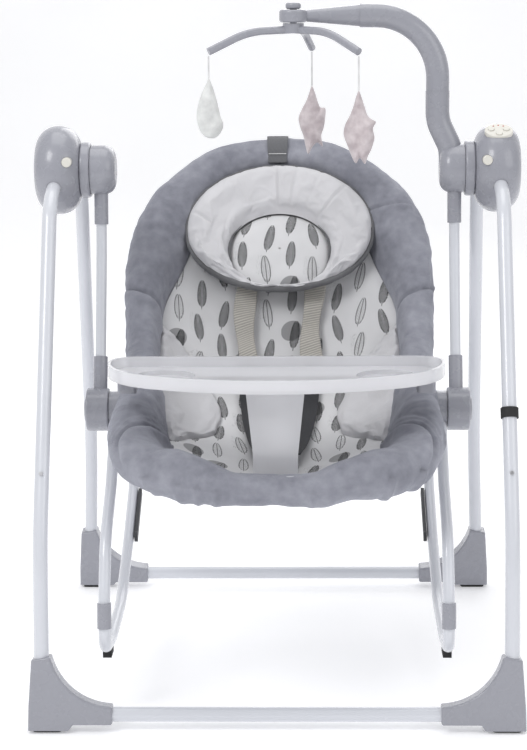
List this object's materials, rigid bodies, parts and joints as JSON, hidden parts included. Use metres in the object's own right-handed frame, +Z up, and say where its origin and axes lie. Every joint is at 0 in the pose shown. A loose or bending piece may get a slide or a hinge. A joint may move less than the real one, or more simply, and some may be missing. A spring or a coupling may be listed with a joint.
{
  "type": "baby swing",
  "caption": "Baby swing on a folding tube frame, with a reclining rocker seat, a lift-off tray and a toy mobile on a swivelling arm.",
  "frame": {"origin": "on the floor under the swing axis, at the centre of the footprint", "axes": "+Z up, -Y towards the front of the seat, +X to the right seen from the front, along the swing axis"},
  "size_m": [0.691, 0.7088, 0.9566],
  "materials": {
    "white_paint": "smooth gloss powder coat",
    "grey_plastic": "satin moulded",
    "dark_plastic": "fine grain",
    "rubber": "matt",
    "steel": "turned",
    "ivory_plastic": "satin",
    "light_lens": "clear tinted",
    "circuit_board": "laminate",
    "copper": "enamelled wire",
    "plush": "short plush pile",
    "cotton": "plain cotton",
    "beige_webbing": "ribbed",
    "dark_webbing": "woven",
    "tray_plastic": "translucent gloss",
    "cord": "twisted cotton",
    "toy_white": "brushed felt",
    "toy_pink": "brushed felt"
  },
  "bodies": {
    "base_frame": {"front_floor_frame": "white_paint", "front_upper_leg_left": "white_paint", "front_upper_leg_right": "white_paint", "front_feet": "grey_plastic", "front_foot_pads": "rubber", "front_snap_buttons": "steel", "housing_outer_left": "grey_plastic", "housing_outer_right": "grey_plastic", "housing_inner_left": "grey_plastic", "housing_inner_right": "grey_plastic", "collar_left": "grey_plastic", "collar_right": "grey_plastic", "control_panel": "ivory_plastic", "indicator_lights": "light_lens", "control_board": "circuit_board", "drive_coil": "copper", "storage_strap": "rubber"},
    "power_button": {"power_button": "ivory_plastic"},
    "speed_button": {"speed_button": "ivory_plastic"},
    "music_button": {"music_button": "ivory_plastic"},
    "fold_latch_left": {"fold_latch_left": "ivory_plastic"},
    "fold_latch_right": {"fold_latch_right": "ivory_plastic"},
    "recline_button_left": {"recline_button_left": "grey_plastic"},
    "recline_button_right": {"recline_button_right": "grey_plastic"},
    "rear_frame": {"rear_floor_frame": "white_paint", "rear_upper_leg_left": "white_paint", "rear_upper_leg_right": "white_paint", "rear_feet": "grey_plastic", "rear_foot_pads": "rubber", "rear_snap_buttons": "steel"},
    "swing_frame": {"pivot_shafts": "steel", "arm_head_left": "grey_plastic", "arm_head_right": "grey_plastic", "swing_arm_left": "white_paint", "swing_arm_right": "white_paint", "arm_bracket_left": "grey_plastic", "arm_bracket_right": "grey_plastic", "drive_lever": "steel"},
    "seat": {"seat_frame": "white_paint", "seat_hubs": "grey_plastic", "seat_cover": "plush", "head_pillow": "cotton", "harness_straps": "dark_webbing", "shoulder_pads": "beige_webbing", "harness_buckle": "dark_plastic", "rocker_frame": "white_paint", "rocker_sleeves": "grey_plastic", "rocker_nubs": "rubber"},
    "kickstands": {"kickstands": "dark_plastic"},
    "tray_unit": {"tray": "tray_plastic", "tray_post": "tray_plastic", "tray_clips": "grey_plastic"},
    "mobile_arm": {"mobile_arm": "grey_plastic"},
    "mobile_spider": {"mobile_spider": "grey_plastic"},
    "leaf_toy": {"leaf_string": "cord", "leaf_toy": "toy_white"},
    "star_toy": {"star_string": "cord", "star_toy": "toy_pink"},
    "moon_toy": {"moon_string": "cord", "moon_toy": "toy_pink"}
  },
  "joints": [
    {"name": "rear_fold", "type": "hinge", "parent": "base_frame", "child": "rear_frame", "pos_m": [0, 0, 0.722], "axis": [1, 0, 0], "range_deg": [-40, 0]},
    {"name": "swing", "type": "hinge", "parent": "base_frame", "child": "swing_frame", "pos_m": [0, 0, 0.722], "axis": [1, 0, 0], "range_deg": [-12, 12]},
    {"name": "recline", "type": "hinge", "parent": "swing_frame", "child": "seat", "pos_m": [0, -0.085, 0.388], "axis": [1, 0, 0], "range_deg": [-14, 0]},
    {"name": "kickstand_fold", "type": "hinge", "parent": "seat", "child": "kickstands", "pos_m": [0, 0.07, 0.157], "axis": [1, 0, 0], "range_deg": [-75, 0]},
    {"name": "tray_lift", "type": "slide", "parent": "seat", "child": "tray_unit", "axis": [0, 0, 1], "range_m": [0, 0.07]},
    {"name": "recline_button_left_press", "type": "slide", "parent": "swing_frame", "child": "recline_button_left", "axis": [1, 0, 0], "range_m": [0, 0.0025], "stiffness_N_per_m": 400},
    {"name": "fold_latch_left_press", "type": "slide", "parent": "base_frame", "child": "fold_latch_left", "axis": [0, 1, 0], "range_m": [0, 0.0025], "stiffness_N_per_m": 400},
    {"name": "recline_button_right_press", "type": "slide", "parent": "swing_frame", "child": "recline_button_right", "axis": [-1, 0, 0], "range_m": [0, 0.0025], "stiffness_N_per_m": 400},
    {"name": "fold_latch_right_press", "type": "slide", "parent": "base_frame", "child": "fold_latch_right", "axis": [0, 1, 0], "range_m": [0, 0.0025], "stiffness_N_per_m": 400},
    {"name": "power_press", "type": "slide", "parent": "base_frame", "child": "power_button", "axis": [0, 0.4695, -0.8829], "range_m": [0, 0.0009], "stiffness_N_per_m": 300},
    {"name": "speed_press", "type": "slide", "parent": "base_frame", "child": "speed_button", "axis": [0, 0.4695, -0.8829], "range_m": [0, 0.0009], "stiffness_N_per_m": 300},
    {"name": "music_press", "type": "slide", "parent": "base_frame", "child": "music_button", "axis": [0, 0.4695, -0.8829], "range_m": [0, 0.0009], "stiffness_N_per_m": 300},
    {"name": "mobile_swivel", "type": "hinge", "parent": "swing_frame", "child": "mobile_arm", "pos_m": [0.2285, 0, 0.832], "axis": [0, 0, 1], "range_deg": [0, 60]},
    {"name": "mobile_spin", "type": "hinge", "parent": "mobile_arm", "child": "mobile_spider", "pos_m": [0.024, 0, 0.93], "axis": [0, 0, 1], "continuous": true},
    {"name": "leaf_sway", "type": "hinge", "parent": "mobile_spider", "child": "leaf_toy", "pos_m": [-0.09488, -0.03863, 0.884], "axis": [0.309, -0.9511, 0], "range_deg": [-20, 20]},
    {"name": "star_sway", "type": "hinge", "parent": "mobile_spider", "child": "star_toy", "pos_m": [0.04999, 0.12227, 0.884], "axis": [-0.9781, 0.2079, 0], "range_deg": [-20, 20]},
    {"name": "moon_sway", "type": "hinge", "parent": "mobile_spider", "child": "moon_toy", "pos_m": [0.11452, -0.0862, 0.884], "axis": [0.6896, 0.7242, 0], "range_deg": [-20, 20]}
  ]
}
